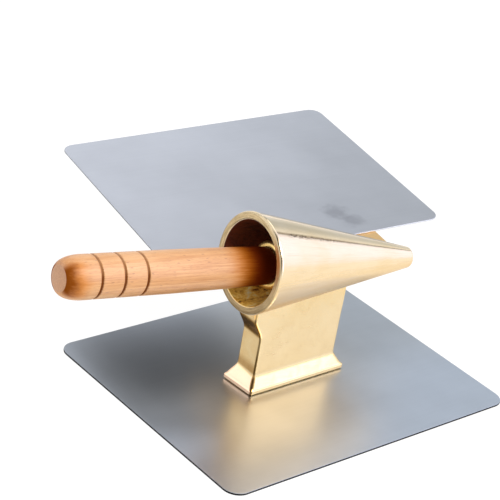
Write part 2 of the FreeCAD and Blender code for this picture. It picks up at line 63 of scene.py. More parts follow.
# ------------------------------------------------------------------ camera
AZ, EL, ROLL = math.radians(-43.839), math.radians(27.138), math.radians(9.946)
back = Vector((math.sin(AZ) * math.cos(EL), -math.cos(AZ) * math.cos(EL), math.sin(EL)))
right = Vector((math.cos(AZ), math.sin(AZ), 0))
upv = back.cross(right)
r2 = right * math.cos(ROLL) + upv * math.sin(ROLL)
u2 = upv * math.cos(ROLL) - right * math.sin(ROLL)
eye = (Vector((75.856, 123.745, 1.2)) + back * 1114.779) * MM
cam_data = bpy.data.cameras.new("camera")
cam_data.sensor_width = 36.0
cam_data.lens = 36.0 * 1769.88 / 500.0
cam_data.clip_start = 0.05
cam_data.clip_end = 50.0
cam = bpy.data.objects.new("camera", cam_data)
scene.collection.objects.link(cam)
cam.matrix_world = Matrix(((r2.x, u2.x, back.x, eye.x), (r2.y, u2.y, back.y, eye.y),
                           (r2.z, u2.z, back.z, eye.z), (0, 0, 0, 1)))
scene.camera = cam
scene.view_settings.view_transform = "Standard"
scene.view_settings.look = "None"
scene.view_settings.exposure = 0.0
scene.view_settings.gamma = 1.0


# ------------------------------------------------------------------ node helpers
class Tree:
    """A small writer for one material's nodes."""

    def __init__(self, name):
        self.mat = bpy.data.materials.new(name)
        self.mat.use_nodes = True
        self.t = self.mat.node_tree
        self.t.nodes.clear()
        self.out = self.t.nodes.new("ShaderNodeOutputMaterial")
        self.bsdf = self.t.nodes.new("ShaderNodeBsdfPrincipled")
        self.t.links.new(self.bsdf.outputs[0], self.out.inputs[0])
        self.obj = self.t.nodes.new("ShaderNodeTexCoord").outputs["Object"]

    def put(self, socket, value):
        if hasattr(value, "is_output") and value.is_output:
            self.t.links.new(value, socket)
        else:
            socket.default_value = value

    def set(self, name, value):
        self.put(self.bsdf.inputs[name], value)

    def math(self, op, a, b=0.0, c=0.0, clamp=False):
        n = self.t.nodes.new("ShaderNodeMath")
        n.operation = op
        n.use_clamp = clamp
        for i, v in enumerate((a, b, c)):
            self.put(n.inputs[i], v)
        return n.outputs[0]

    def vec(self, op, a, b=(0, 0, 0), scale=None):
        n = self.t.nodes.new("ShaderNodeVectorMath")
        n.operation = op
        self.put(n.inputs[0], a)
        if op != "SCALE" and op != "LENGTH":
            self.put(n.inputs[1], b)
        if scale is not None:
            self.put(n.inputs["Scale"], scale)
        return n.outputs["Value"] if op in ("DOT_PRODUCT", "LENGTH", "DISTANCE") else n.outputs["Vector"]

    def xyz(self, x, y, z):
        n = self.t.nodes.new("ShaderNodeCombineXYZ")
        for i, v in enumerate((x, y, z)):
            self.put(n.inputs[i], v)
        return n.outputs[0]

    def local(self, origin, ex, ey, ez):
        """Coordinates in millimetres along three axes of the piece."""
        d = self.vec("SUBTRACT", self.obj, tuple(origin))
        return [self.math("MULTIPLY", self.vec("DOT_PRODUCT", d, tuple(e)), 1000.0) for e in (ex, ey, ez)]

    def noise(self, vector, scale, detail=2.0, rough=0.5, distort=0.0, kind="FBM"):
        n = self.t.nodes.new("ShaderNodeTexNoise")
        n.noise_type = kind
        self.put(n.inputs["Vector"], vector)
        n.inputs["Scale"].default_value = scale
        n.inputs["Detail"].default_value = detail
        n.inputs["Roughness"].default_value = rough
        n.inputs["Distortion"].default_value = distort
        return n.outputs["Fac"]

    def voronoi(self, vector, scale, feature="F1"):
        n = self.t.nodes.new("ShaderNodeTexVoronoi")
        n.feature = feature
        self.put(n.inputs["Vector"], vector)
        n.inputs["Scale"].default_value = scale
        return n.outputs["Distance"]

    def ramp(self, fac, stops, mode="LINEAR"):
        n = self.t.nodes.new("ShaderNodeValToRGB")
        n.color_ramp.interpolation = mode
        e = n.color_ramp.elements
        while len(e) > len(stops):
            e.remove(e[-1])
        while len(e) < len(stops):
            e.new(0.5)
        for k, (p, c) in zip(e, stops):
            k.position = p
            k.color = tuple(c) + ((1.0,) if len(c) == 3 else ()) if hasattr(c, "__len__") else (c, c, c, 1.0)
        self.put(n.inputs[0], fac)
        return n.outputs[0]

    def remap(self, v, a, b, c=0.0, d=1.0, smooth=True):
        n = self.t.nodes.new("ShaderNodeMapRange")
        n.interpolation_type = "SMOOTHSTEP" if smooth else "LINEAR"
        self.put(n.inputs["Value"], v)
        for key, x in (("From Min", a), ("From Max", b), ("To Min", c), ("To Max", d)):
            self.put(n.inputs[key], x)
        return n.outputs["Result"]

    def mix(self, fac, a, b, mode="MIX"):
        n = self.t.nodes.new("ShaderNodeMix")
        n.data_type = "RGBA"
        n.blend_type = mode
        n.clamp_factor = True
        self.put(n.inputs["Factor"], fac)
        for key, v in (("A", a), ("B", b)):
            s = [i for i in n.inputs if i.name == key and i.type == "RGBA"][0]
            self.put(s, v if hasattr(v, "is_output") else tuple(v) + (1.0,))
        return [o for o in n.outputs if o.type == "RGBA"][0]

    def bump(self, height, strength, distance, normal=None):
        n = self.t.nodes.new("ShaderNodeBump")
        n.inputs["Strength"].default_value = strength
        n.inputs["Distance"].default_value = distance
        self.put(n.inputs["Height"], height)
        if normal is not None:
            self.put(n.inputs["Normal"], normal)
        return n.outputs[0]


# ------------------------------------------------------------------ materials
def steel_sheet(name, origin, ex, ey, ez, shade_below, shade_tone, rough, tint, marks=(), shade_lift_x=None, painted_sheen_y=None):
    m = Tree(name)
    x, y, z = m.local(origin, ex, ey, ez)
    p = m.xyz(x, y, z)
    # rolling grain: very long, very fine streaks along the sheet
    streak = m.noise(m.xyz(m.math("MULTIPLY", x, 0.012), m.math("MULTIPLY", y, 0.7), 0.3), 1.0, 1.0, 0.5)
    cloud = m.noise(p, 0.018, 3.0, 0.55)
    tone = m.math("ADD", m.math("MULTIPLY", streak, 0.14), m.math("MULTIPLY", cloud, 0.86))
    col = m.ramp(tone, [(0.3, tuple(0.93 * c for c in tint)), (0.7, tuple(1.07 * c for c in tint))])
    if painted_sheen_y:
        # painted reflection: the front part of the sheet is brightened and cooled
        front = m.remap(y, painted_sheen_y[0], painted_sheen_y[1], 1.0, 0.0)
        col = m.mix(front, col, m.mix(1.0, col, (1.10, 1.13, 1.19), "MULTIPLY"))
        # painted shade: darker along one margin
        col = m.mix(m.math("MULTIPLY", m.remap(x, 0.0, 17.0, 0.16, 0.0), m.remap(y, 50.0, 100.0)), col, (0.0, 0.0, 0.0))
    for u, v, r, dark in marks:
        d = m.vec("LENGTH", m.vec("SUBTRACT", m.xyz(x, y, 0.0), (u, v, 0.0)))
        wob = m.math("ADD", d, m.math("MULTIPLY", m.math("SUBTRACT", m.noise(p, 0.16, 3.0), 0.5), r * 1.1))
        f = m.remap(wob, r * 0.25, r, dark, 0.0)
        col = m.mix(f, col, (0.24, 0.235, 0.25))
    # painted shade: the lower part of the sheet's sides and its underside are darkened, standing in for the contact
    # shadow and the shade under the sheet
    shade_under = m.remap(z, shade_below - 0.04, shade_below + 0.04, 1.0, 0.0)
    painted_shade_col = m.ramp(m.noise(p, 0.05, 5.0, 0.6), [(0.35, (shade_tone, shade_tone, shade_tone * 1.05)), (0.65, (shade_tone * 2, shade_tone * 1.95, shade_tone * 1.95))])
    if shade_lift_x:
        # painted light: the painted shade under the sheet is lightened in bands near two of its edges and towards its
        # far end
        wide = m.math("ADD", x, m.math("MULTIPLY", m.math("SUBTRACT", m.noise(p, 0.03, 3.0), 0.5), 30.0))
        painted_shade_col = m.mix(m.remap(y, 70.0, 125.0, 0.0, 0.28), painted_shade_col, (0.52, 0.55, 0.64))
        painted_shade_col = m.mix(m.remap(y, 2.0, 32.0, 0.24, 0.0), painted_shade_col, (0.55, 0.55, 0.55))
        painted_shade_col = m.mix(m.remap(wide, shade_lift_x[0], shade_lift_x[1]), painted_shade_col, (0.76, 0.765, 0.77))
    col = m.mix(shade_under, col, painted_shade_col)
    m.set("Base Color", col)
    m.set("Metallic", 1.0)
    rgh = rough
    if painted_sheen_y:
        rgh = m.math("ADD", rgh, m.remap(y, painted_sheen_y[1] - 20.0, painted_sheen_y[1] + 35.0, 0.025, -0.020))
    m.set("Roughness", m.math("ADD", rgh, m.math("MULTIPLY", shade_under, 0.18)))
    return m.mat


def brass(name, light, deep, rough, polish=1.0, cone=False):
    m = Tree(name)
    ax = (UP - CONE_DIR * UP.dot(CONE_DIR)).normalized()
    s, ux, uy = m.local(MOUTH, CONE_DIR, ax, CONE_DIR.cross(ax))
    p = m.vec("SCALE", m.obj, scale=1000.0)
    # slow waviness left by hand polishing, linishing streaks, a few casting pits
    wave = m.noise(p, 0.055, 2.0, 0.45)
    cloud = m.noise(p, 0.03, 4.0, 0.6)
    if cone:
        rad = m.vec("LENGTH", m.xyz(ux, uy, 0.0))
        inv = m.math("DIVIDE", 24.0, m.math("MAXIMUM", rad, 1.0))
        lx, ly, ls = m.math("MULTIPLY", ux, inv), m.math("MULTIPLY", uy, inv), m.math("MULTIPLY", s, 0.045)
        line = m.noise(m.xyz(ls, m.math("MULTIPLY", lx, 1.5), m.math("MULTIPLY", ly, 1.5)), 1.0, 4.0, 0.65)
        broad = m.noise(m.xyz(m.math("MULTIPLY", s, 0.03), m.math("MULTIPLY", lx, 0.22), m.math("MULTIPLY", ly, 0.22)), 1.0, 3.0, 0.6, 0.8)
    else:
        line = m.noise(m.xyz(m.math("MULTIPLY", s, 0.10), m.math("MULTIPLY", ux, 1.4), m.math("MULTIPLY", uy, 1.4)), 1.0, 4.0, 0.65)
        broad = m.noise(p, 0.10, 3.0, 0.6, 0.8)
    pit = m.remap(m.noise(p, 0.9, 2.0, 0.5), 0.72, 0.82, 0.0, 1.0 if cone else 0.0)
    col = m.mix(m.remap(cloud, 0.35, 0.65), deep, light)
    col = m.mix(m.remap(broad, 0.45, 0.72, 0.0, 0.14), col, (0.58, 0.40, 0.17))
    col = m.mix(m.remap(line, 0.50, 0.74, 0.0, 0.11), col, (0.52, 0.36, 0.15))
    col = m.mix(m.math("MULTIPLY", pit, 0.30), col, (0.23, 0.14, 0.05))
    if not cone:
        # painted reflection: faces turned to -X above the foot get a warmer brass colour
        facing = m.t.nodes.new("ShaderNodeNewGeometry").outputs["Normal"]
        end_reflection = m.math("MULTIPLY", m.remap(m.vec("DOT_PRODUCT", facing, (-1, 0, 0)), 0.55, 0.85),
                     m.remap(m.vec("DOT_PRODUCT", p, (0, 0, 1)), 10.0, 14.0))
        col = m.mix(end_reflection, col, m.ramp(broad, [(0.35, (0.97, 0.61, 0.24)), (0.6, (1.0, 0.70, 0.32))]))
        # painted shade: the downward-facing overhang under the mouth is darkened to brown
        overhang_shade = m.math("MULTIPLY", m.remap(m.vec("DOT_PRODUCT", facing, (0, 0, -1)), 0.10, 0.34),
                      m.remap(m.vec("DOT_PRODUCT", p, (0, 0, 1)), 18.0, 24.0))
        col = m.mix(m.math("MULTIPLY", overhang_shade, m.remap(broad, 0.3, 0.6, 0.85, 1.0)), col, (0.53, 0.245, 0.022))
        # painted highlight: low on faces turned to -X the brass is paler and less yellow
        toe_highlight = m.math("MULTIPLY", m.remap(m.vec("DOT_PRODUCT", facing, (-1, 0, 0)), 0.30, 0.50),
                     m.remap(m.vec("DOT_PRODUCT", p, (0, 0, 1)), 9.0, 12.5, 1.0, 0.0))
        col = m.mix(toe_highlight, col, (0.955, 0.62, 0.372))
        # painted shade: a darker brown band at the bottom of the narrow end and a dark line along its near corner,
        # standing in for the dark reflections there
        z = m.vec("DOT_PRODUCT", p, (0, 0, 1))
        fx, fy = m.vec("DOT_PRODUCT", facing, (-1, 0, 0)), m.vec("DOT_PRODUCT", facing, (0, -1, 0))
        root_shade = m.math("MULTIPLY", m.math("MULTIPLY", m.remap(fx, 0.55, 0.85), m.remap(z, 11.5, 13.0)), m.remap(z, 14.6, 20.0, 1.0, 0.0))
        col = m.mix(m.math("MULTIPLY", root_shade, m.remap(broad, 0.3, 0.6, 0.75, 1.0)), col, (0.60, 0.33, 0.10))
        flat = m.math("ADD", m.math("MULTIPLY", fx, fx), m.math("MULTIPLY", fy, fy))
        turn = m.math("DIVIDE", m.math("MULTIPLY", m.math("MULTIPLY", fx, fy), 2.0), m.math("MAXIMUM", flat, 0.02))
        corner = m.math("MULTIPLY", m.remap(turn, 0.50, 0.92), m.remap(fx, 0.05, 0.20))
        corner = m.math("MULTIPLY", corner, m.remap(z, 20.0, 28.0, 0.90, 0.45))
        col = m.mix(corner, col, (0.36, 0.19, 0.05))
    rgh = m.math("ADD", m.remap(broad, 0.3, 0.7, rough * 0.85, rough * 1.2),
                 m.math("MULTIPLY", m.math("SUBTRACT", line, 0.5), 0.16))
    h = m.math("ADD", m.math("MULTIPLY", wave, 0.8), m.math("MULTIPLY", line, 0.05))
    h = m.math("SUBTRACT", h, m.math("MULTIPLY", pit, 0.05))
    nrm = m.bump(h, 0.10 * polish, 0.0011)
    metal = 1.0
    if cone:
        wall = m.math("ADD", m.math("MULTIPLY", s, -(CONE_R0 - CONE_R1) / CONE_L), CONE_R0 * 1000)
        deep_in = m.math("SUBTRACT", wall, rad)
        turnd = m.math("DIVIDE", ux, m.math("MAXIMUM", rad, 1.0))
        # painted shade: the lower side of the cone is a deeper, more saturated tan
        low_side_shade = m.remap(turnd, -0.45, 0.32, 1.0, 0.0)
        col = m.mix(m.math("MULTIPLY", low_side_shade, m.remap(broad, 0.3, 0.7, 0.6, 1.0)), col, (0.835, 0.58, 0.262))
        rgh = m.math("ADD", rgh, m.remap(turnd, -0.5, 0.80, 0.24, 0.0, smooth=False))
        # painted reflection: the underside of the outer wall is paler and rougher
        belly_reflection = m.math("MULTIPLY", m.remap(turnd, -0.88, -0.62, 1.0, 0.0), m.remap(deep_in, 2.0, 3.0, 1.0, 0.0))
        col = m.mix(m.math("MULTIPLY", belly_reflection, 0.8), col, (0.90, 0.78, 0.60))
        rgh = m.math("ADD", rgh, m.math("MULTIPLY", belly_reflection, 0.22))
        ledge = m.remap(deep_in, -1.2, -0.6, 1.0, 0.0)
        col = m.mix(ledge, col, m.ramp(broad, [(0.35, (0.66, 0.42, 0.17)), (0.65, (0.84, 0.58, 0.28))]))
        rgh = m.math("ADD", rgh, m.math("MULTIPLY", ledge, 0.15))
        # a seam of small pits along the upper front of the casting
        side = m.math("DIVIDE", uy, m.math("MAXIMUM", rad, 1.0))
        seam = m.math("MULTIPLY", m.remap(m.math("ABSOLUTE", m.math("SUBTRACT", side, SEAM_SIDE)), 0.01, 0.075, 1.0, 0.0),
                      m.math("MULTIPLY", m.remap(s, 8.0, 14.0), m.remap(s, 32.0, 60.0, 1.0, 0.25)))
        seam = m.math("MULTIPLY", seam, m.remap(ux, 0.0, 2.0))
        speck = m.math("MULTIPLY", seam, m.remap(m.noise(p, 1.1, 2.0, 0.6), 0.46, 0.56))
        col = m.mix(m.math("MULTIPLY", speck, 0.8), col, (0.16, 0.115, 0.055))
        # the mouth face is machined: fine turning marks, duller; its colour is darkened as painted shade, and more so
        # towards the bottom
        mouth_face_shade = m.math("MULTIPLY", m.remap(s, 0.25, 0.55, 1.0, 0.0), m.remap(deep_in, 4.0, 4.4, 1.0, 0.0))
        turn = m.noise(m.xyz(m.math("MULTIPLY", rad, 1.5), m.math("MULTIPLY", ux, 0.14), m.math("MULTIPLY", uy, 0.14)), 1.0, 4.0, 0.75)
        col = m.mix(mouth_face_shade, col, m.ramp(turn, [(0.32, (0.33, 0.235, 0.115)), (0.5, (0.52, 0.385, 0.205)), (0.68, (0.68, 0.52, 0.30))]))
        col = m.mix(m.math("MULTIPLY", mouth_face_shade, m.remap(ux, -26.0, 4.0, 0.42, 0.0)), col, (0.22, 0.14, 0.055))
        rgh = m.math("ADD", rgh, m.math("MULTIPLY", mouth_face_shade, 0.14))
        # the cavity keeps its casting skin; painted shade makes its upper side near-black and painted light makes its
        # lower side a bright gold
        inside = m.math("MULTIPLY", m.remap(deep_in, 3.4, 4.2), m.remap(s, 0.35, 0.75))
        grit = m.noise(m.xyz(m.math("MULTIPLY", s, 0.16), m.math("MULTIPLY", ux, 0.55), m.math("MULTIPLY", uy, 0.55)), 1.0, 5.0, 0.7)
        lump = m.noise(p, 0.16, 4.0, 0.65, 0.9)
        mixn = m.math("ADD", m.math("MULTIPLY", lump, 0.6), m.math("MULTIPLY", grit, 0.4))
        cavity_lit_skin = m.ramp(mixn, [(0.38, (0.10, 0.032, 0.003)), (0.46, (0.72, 0.33, 0.025)), (0.54, (1.0, 0.62, 0.10)), (0.66, (1.0, 0.84, 0.42))])
        cavity_shade = m.ramp(mixn, [(0.34, (0.04, 0.004, 0.001)), (0.66, (0.17, 0.028, 0.006))])
        shade_reach = m.math("ADD", ux, m.math("MULTIPLY", m.math("SUBTRACT", lump, 0.5), 12.0))
        col = m.mix(inside, col, m.mix(m.remap(shade_reach, -16.5, -6.5), cavity_lit_skin, cavity_shade))
        rgh = m.math("ADD", rgh, m.math("MULTIPLY", inside, 0.30))
        nrm = m.bump(m.math("MULTIPLY", m.math("ADD", m.math("MULTIPLY", grit, 0.4), lump), inside), 0.6, 0.0012, nrm)
        metal = m.math("SUBTRACT", 1.0, m.math("MULTIPLY", inside, 0.9))
    m.set("Base Color", col)
    m.set("Metallic", metal)
    m.set("Roughness", rgh)
    m.set("Normal", nrm)
    return m.mat


def turned_brass(name, colour, rough):
    m = Tree(name)
    t, a, b = m.local(ROLL_AT, ROLL_OUT, ROLL_X, ROLL_Y)
    rad = m.vec("LENGTH", m.xyz(a, b, 0.0))
    ringn = m.noise(m.xyz(m.math("MULTIPLY", t, 5.0), m.math("MULTIPLY", rad, 5.0), 0.0), 1.0, 2.0, 0.5)
    p = m.vec("SCALE", m.obj, scale=1000.0)
    cloud = m.noise(p, 0.12, 4.0, 0.6)
    m.set("Base Color", m.mix(m.remap(cloud, 0.35, 0.7), colour, tuple(c * 0.72 for c in colour)))
    m.set("Metallic", 1.0)
    m.set("Roughness", m.remap(cloud, 0.3, 0.7, rough * 0.8, rough * 1.3))
    m.set("Normal", m.bump(ringn, 0.05, 0.0001))
    return m.mat


def zinc(name):
    m = Tree(name)
    p = m.vec("SCALE", m.obj, scale=1000.0)
    cloud = m.noise(p, 0.5, 4.0, 0.6)
    m.set("Base Color", m.ramp(cloud, [(0.3, (0.42, 0.42, 0.43)), (0.7, (0.60, 0.60, 0.58))]))
    m.set("Metallic", 1.0)
    m.set("Roughness", m.remap(cloud, 0.3, 0.7, 0.28, 0.45))
    m.set("Normal", m.bump(m.noise(p, 3.0, 2.0), 0.1, 0.0001))
    return m.mat


def beech(name):
    m = Tree(name)
    t, a, b = m.local(ROLL_AT, ROLL_OUT, ROLL_X, ROLL_Y)
    rad = m.vec("LENGTH", m.xyz(a, b, 0.0))

    def along(ft, fr, detail=3.0, rough=0.55, distort=0.0):
        return m.noise(m.xyz(m.math("MULTIPLY", t, ft), m.math("MULTIPLY", a, fr), m.math("MULTIPLY", b, fr)), 1.0, detail, rough, distort)

    # growth layers run along the grip, sliced by the turned surface
    lay = along(0.008, 0.26, 3.0, 0.6, 0.35)
    fibre = along(0.05, 1.5, 4.0, 0.65)
    pores = along(0.30, 4.2, 1.0, 0.5)
    cloud = along(0.030, 0.06, 3.0, 0.5)
    cell = m.t.nodes.new("ShaderNodeTexVoronoi")
    m.put(cell.inputs["Vector"], m.xyz(m.math("MULTIPLY", t, 0.17), m.math("MULTIPLY", a, 0.62), m.math("MULTIPLY", b, 0.62)))
    cell.inputs["Scale"].default_value = 1.0
    pick = m.remap(m.vec("DOT_PRODUCT", cell.outputs["Color"], (1, 0, 0)), 0.45, 0.5)
    fleck = m.math("MULTIPLY", m.remap(cell.outputs["Distance"], 0.10, 0.22, 1.0, 0.0), pick)
    tone = m.math("ADD", m.math("MULTIPLY", lay, 0.42), m.math("ADD", m.math("MULTIPLY", fibre, 0.40), m.math("MULTIPLY", cloud, 0.18)))
    col = m.ramp(tone, [(0.34, (0.40, 0.150, 0.034)), (0.45, (0.54, 0.240, 0.070)), (0.55, (0.645, 0.325, 0.118)), (0.68, (0.72, 0.425, 0.195))])
    col = m.mix(m.math("MULTIPLY", m.remap(pores, 0.58, 0.70), 0.40), col, (0.36, 0.13, 0.04))
    col = m.mix(m.math("MULTIPLY", fleck, 0.55), col, (0.28, 0.10, 0.035))
    # the rounded end is end grain, darker and more orange towards the disc and darkest beside it
    drift = m.math("MULTIPLY", m.math("SUBTRACT", along(0.05, 0.30, 4.0, 0.6), 0.5), 9.0)
    side = m.remap(rad, 6.75, 7.0)
    # strongest on the two sides where the turning cuts across the fibres
    cross = m.math("DIVIDE", m.math("ABSOLUTE", m.vec("DOT_PRODUCT", m.xyz(a, b, 0.0), (0.27, -0.96, 0.0))), m.math("MAXIMUM", rad, 1.0))
    cut = m.remap(cross, 0.30, 0.80)
    endn = m.math("MULTIPLY", m.math("MULTIPLY", m.remap(m.math("ADD", t, drift), 201.0, 212.5), side), m.remap(cut, 0.0, 1.0, 0.25, 1.0))
    col = m.mix(m.math("MULTIPLY", endn, 0.88), col, (0.56, 0.175, 0.008))
    dark = m.math("MULTIPLY", m.math("MULTIPLY", m.remap(m.math("ADD", t, drift), 207.5, 214.8), side), cut)
    col = m.mix(m.math("MULTIPLY", dark, 0.92), col, (0.19, 0.042, 0.004))
    # painted shade: the end disc, turned away from the light, is darkened over its end-grain spots
    disc_grain_and_shade = m.math("MULTIPLY", m.remap(t, 215.3, 215.8), m.remap(rad, 6.8, 7.0, 1.0, 0.0))
    spot = m.ramp(along(0.0, 1.1, 4.0, 0.7), [(0.3, (0.37, 0.15, 0.055)), (0.7, (0.56, 0.27, 0.112))])
    col = m.mix(m.math("MULTIPLY", disc_grain_and_shade, 0.8), col, spot)
    # burnt grooves, and painted shade browning the root where it sits inside the cone's mouth
    burn_and_shade = None
    for g in (170.1, 183.8, 197.5):
        d = m.math("ABSOLUTE", m.math("SUBTRACT", t, g))
        f = m.remap(m.math("ADD", d, m.math("MULTIPLY", m.math("SUBTRACT", fibre, 0.5), 0.5)), 0.50, 1.02, 1.0, 0.0)
        burn_and_shade = f if burn_and_shade is None else m.math("MAXIMUM", burn_and_shade, f)
    # painted shade: the burnt lines are fainter on the upper side of the grip and darker below
    burn_and_shade = m.math("MULTIPLY", burn_and_shade, m.remap(m.math("DIVIDE", a, m.math("MAXIMUM", rad, 1.0)), 0.30, 0.90, 1.0, 0.55))
    tw = m.math("ADD", t, m.math("MULTIPLY", m.math("SUBTRACT", fibre, 0.5), 9.0))
    # painted shade: orange-brown, then near-black towards the root inside the mouth
    root_half_shade = m.remap(tw, 104.0, 123.0, 0.96, 0.0)
    root_shade = m.remap(tw, 98.5, 115.5, 0.98, 0.0)
    col = m.mix(root_half_shade, col, (0.48, 0.138, 0.005))
    col = m.mix(root_shade, col, (0.12, 0.012, 0.001))
    col = m.mix(m.math("MULTIPLY", burn_and_shade, 0.90), col, (0.135, 0.030, 0.006))
    m.set("Base Color", col)
    m.set("Roughness", m.remap(fibre, 0.3, 0.7, 0.34, 0.46))
    m.set("Specular IOR Level", m.math("MULTIPLY", m.math("SUBTRACT", 1.0, m.math("MAXIMUM", m.math("MAXIMUM", burn_and_shade, m.math("MULTIPLY", endn, 0.7)), m.math("MAXIMUM", root_half_shade, dark))), 0.85))
    h = m.math("SUBTRACT", m.math("MULTIPLY", fibre, 0.6), m.math("MULTIPLY", m.remap(pores, 0.58, 0.70), 0.8))
    m.set("Normal", m.bump(h, 0.25, 0.00014))
    return m.mat


def dress(node, mat):
    o = N[node]
    o.data.materials.clear()
    o.data.materials.append(mat)


STEEL_BASE = steel_sheet("steel_base", (-0.1, -0.07875, 0.0), (1, 0, 0), (0, 1, 0), (0, 0, 1), 1.14, 0.010, 0.295, (0.489, 0.505, 0.515), painted_sheen_y=(34.0, 94.0))
STEEL_FEED = steel_sheet("steel_feed", LEDGE_AT, LEDGE_U, LEDGE_V, LEDGE_W, 0.75, 0.052, 0.31, (0.489, 0.491, 0.501),
                         marks=((122.5, 25.1, 10.5, 0.50), (127.4, 14.1, 9.0, 0.46), (88.0, 14.0, 7.0, 0.15), (56.0, 14.0, 7.0, 0.15)), shade_lift_x=(100.0, 140.0))
BRASS_CONE = brass("brass_cone", (0.92, 0.735, 0.49), (0.89, 0.69, 0.42), 0.13, cone=True)
BRASS_PED = brass("brass_pedestal", (0.90, 0.67, 0.325), (0.87, 0.635, 0.292), 0.22, polish=0.6)
BRASS_TURNED = turned_brass("brass_turned", (0.86, 0.66, 0.34), 0.22)
BRASS_RING = turned_brass("brass_ring", (0.90, 0.60, 0.20), 0.30)
ZINC = zinc("zinc")
BEECH = beech("beech")

dress("base_plate", STEEL_BASE)
dress("feed_plate", STEEL_FEED)
dress("cone_mould", BRASS_CONE)
dress("pedestal", BRASS_PED)
dress("roller_cone", BRASS_TURNED)
dress("shoulder_ring", BRASS_RING)
for n in ("base_screws", "plate_studs", "plate_washers", "plate_nuts", "pivot_pin", "handle_rod"):
    dress(n, ZINC)


# ------------------------------------------------------------------ turned grip
def turned(name, profile, steps, mat, closed=False):
    """Solid of revolution about the roller's axis; profile is (radius, distance) in mm."""
    bm = bmesh.new()
    rows = []
    for r, t in profile:
        c = ROLL_AT + ROLL_OUT * (t * MM)
        if r < 1e-6:
            rows.append([bm.verts.new(c)])
            continue
        rows.append([bm.verts.new(c + (ROLL_X * math.cos(2 * math.pi * i / steps)
                                       + ROLL_Y * math.sin(2 * math.pi * i / steps)) * (r * MM))
                     for i in range(steps)])
    for a, b in zip(rows, rows[1:] + (rows[:1] if closed else [])):
        for i in range(steps):
            j = (i + 1) % steps
            if len(a) == 1:
                bm.faces.new((a[0], b[j], b[i]))
            elif len(b) == 1:
                bm.faces.new((a[i], a[j], b[0]))
            else:
                bm.faces.new((a[i], a[j], b[j], b[i]))
    bmesh.ops.recalc_face_normals(bm, faces=bm.faces)
    me = bpy.data.meshes.new(name)
    bm.to_mesh(me)
    bm.free()
    for f in me.polygons:
        f.use_smooth = True
    o = bpy.data.objects.new(name, me)
    scene.collection.objects.link(o)
    o.data.materials.append(mat)
    return o


def grip_radius(t):
    pts = [(88.3, 10.2), (92.5, 10.4), (118, 10.95), (150, 11.35), (203.5, 11.45)]
    for (t0, a), (t1, b) in zip(pts, pts[1:]):
        if t <= t1:
            return a + (b - a) * (t - t0) / (t1 - t0)
    return pts[-1][1]


profile = [(0.0, 87.5), (4.0, 87.5), (8.0, 87.5), (9.7, 87.52), (10.05, 87.7), (10.22, 88.1), (10.25, 88.8)]
grooves = (170.1, 183.8, 197.5)
t = 90.0
while t < 203.4:
    g = min(grooves, key=lambda q: abs(q - t))
    if abs(g - t) > 2.2:
        profile.append((grip_radius(t), t))
        t += 2.0
    else:
        r = grip_radius(g)
        for dt, dr in ((-1.7, 0.0), (-1.15, -0.015), (-0.9, -0.09), (-0.72, -0.3), (-0.45, -0.62), (-0.2, -0.84), (0.0, -0.9),
                       (0.2, -0.84), (0.45, -0.62), (0.72, -0.3), (0.9, -0.09), (1.15, -0.015), (1.7, 0.0)):
            profile.append((r + dr, g + dt))
        t = g + 2.6
for i in range(0, 17):
    a = math.pi / 2 * i / 16
    profile.append((6.9 + (11.45 - 6.9) * math.cos(a), 203.5 + (215.8 - 203.5) * math.sin(a)))
profile += [(6.76, 215.9), (6.5, 215.97), (5.0, 216.1), (2.5, 216.24), (0.0, 216.3)]
grip = turned("beech_handle", profile, 160, BEECH)
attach(grip, "roller")
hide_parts("handle")

ring = [(6.05, 83.55), (8.0, 83.45), (10.6, 83.45)]
ring += [(10.9 + 2.35 * math.sin(a), max(83.45, 85.15 - 2.25 * math.cos(a))) for a in [math.pi * i / 18 for i in range(0, 19)]]
ring += [(10.6, 87.4), (8.0, 87.4), (6.05, 87.3)]
shoulder = turned("brass_shoulder", ring, 128, BRASS_RING, closed=True)
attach(shoulder, "ring")
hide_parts("shoulder_ring")

# ------------------------------------------------------------------ cast pedestal
def sstep(a, b, x):
    k = min(1.0, max(0.0, (x - a) / (b - a)))
    return k * k * (3 - 2 * k)


def ped_section(z):
    """x left, x right, half width and corner radius at a height above the plate, in mm."""
    foot = [(0.0, 0.95), (0.42, 0.85), (0.50, 0.30), (0.62, 0.06), (0.8, 0.0), (2.1, 0.0), (2.55, 0.07), (2.9, 0.28), (3.2, 0.55)]
    if z <= 3.2:
        for (z0, a), (z1, b) in zip(foot, foot[1:]):
            if z <= z1:
                inset = a + (b - a) * (z - z0) / (z1 - z0)
                break
        k = inset / 3.55
    else:
        k = 0.155 + (z - 3.2) * 0.118 if z <= 9.0 else (1.0 if z >= 11.71 else 1 - 0.16 * ((11.71 - z) / 2.71) ** 2)
    xl = -33.4 + k * 3.3 - 5.9 * sstep(32.5, 47.0, z)
    xr = 35.3 - k * 5.9
    hw = 11.4 - k * 3.55
    return xl, xr, hw, 1.6 + 0.9 * sstep(2.4, 4.5, z) * (1 - sstep(7.5, 11.0, z))


